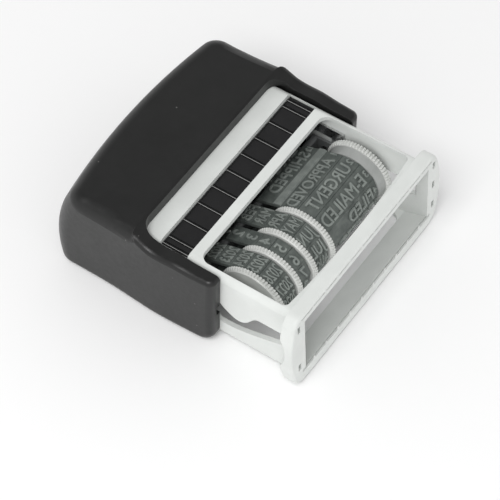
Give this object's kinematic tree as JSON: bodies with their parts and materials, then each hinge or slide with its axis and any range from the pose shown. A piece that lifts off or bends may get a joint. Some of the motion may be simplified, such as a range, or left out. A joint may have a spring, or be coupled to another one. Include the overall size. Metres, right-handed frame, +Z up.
{
  "type": "self inking stamp",
  "caption": "Hand-held self inking line dater: a sprung cap flips a band carrier from its ink pad down to the paper.",
  "frame": {"origin": "on the table under the middle of the object as it lies on its back", "axes": "+Z up out of the band window, +Y from the print end to the cap, +X towards the phrase band's end"},
  "size_m": [0.0698, 0.0803, 0.0308],
  "materials": {
    "frame_grey": "satin moulded",
    "cap_black": "fine matt texture",
    "cartridge_black": "gloss",
    "pad_felt": "inked felt",
    "wheel_white": "satin moulded",
    "plate_grey": "matt",
    "band_rubber": "matt",
    "plated_steel": "zinc plated",
    "spring_steel": "bright"
  },
  "bodies": {
    "frame": {"frame_body": "frame_grey", "ink_cartridge": "cartridge_black", "ink_pad": "pad_felt", "spring_seat": "frame_grey", "return_spring_left": "spring_steel", "return_spring_right": "spring_steel"},
    "cap": {"cap_shell": "cap_black", "cap_stirrup": "plated_steel", "stirrup_screws": "plated_steel"},
    "carrier": {"carrier_plate_left": "plate_grey", "carrier_plate_right": "plate_grey", "print_bridge": "plate_grey", "wheel_axle": "plated_steel", "axle_spacer": "plate_grey", "pivot_pins": "plated_steel", "cam_pins": "plated_steel", "phrase_band": "band_rubber", "month_band": "band_rubber", "day_band": "band_rubber", "year_band": "band_rubber"},
    "phrase_wheel": {"phrase_wheel": "wheel_white"},
    "month_wheel": {"month_wheel": "wheel_white"},
    "day_wheel": {"day_wheel": "wheel_white"},
    "year_wheel": {"year_wheel": "wheel_white"}
  },
  "joints": [
    {"name": "cap_press", "type": "slide", "parent": "frame", "child": "cap", "axis": [0, -1, 0], "range_m": [0, 0.0178], "stiffness_N_per_m": 450, "springref_m": -0.012, "deforming": ["return_spring_left", "return_spring_right"]},
    {"name": "carrier_turn", "type": "hinge", "parent": "cap", "child": "carrier", "pos_m": [0, -0.01225, 0.0142], "axis": [-1, 0, 0], "range_deg": [0, 180]},
    {"name": "phrase_turn", "type": "hinge", "parent": "carrier", "child": "phrase_wheel", "pos_m": [0, -0.02005, 0.0142], "axis": [1, 0, 0], "continuous": true},
    {"name": "month_turn", "type": "hinge", "parent": "carrier", "child": "month_wheel", "pos_m": [0, -0.02005, 0.0142], "axis": [1, 0, 0], "continuous": true},
    {"name": "day_turn", "type": "hinge", "parent": "carrier", "child": "day_wheel", "pos_m": [0, -0.02005, 0.0142], "axis": [1, 0, 0], "continuous": true},
    {"name": "year_turn", "type": "hinge", "parent": "carrier", "child": "year_wheel", "pos_m": [0, -0.02005, 0.0142], "axis": [1, 0, 0], "continuous": true}
  ],
  "couplings": [
    {"joint": "carrier_turn", "follows": "cap_press", "rad_per_m": 176.49}
  ]
}
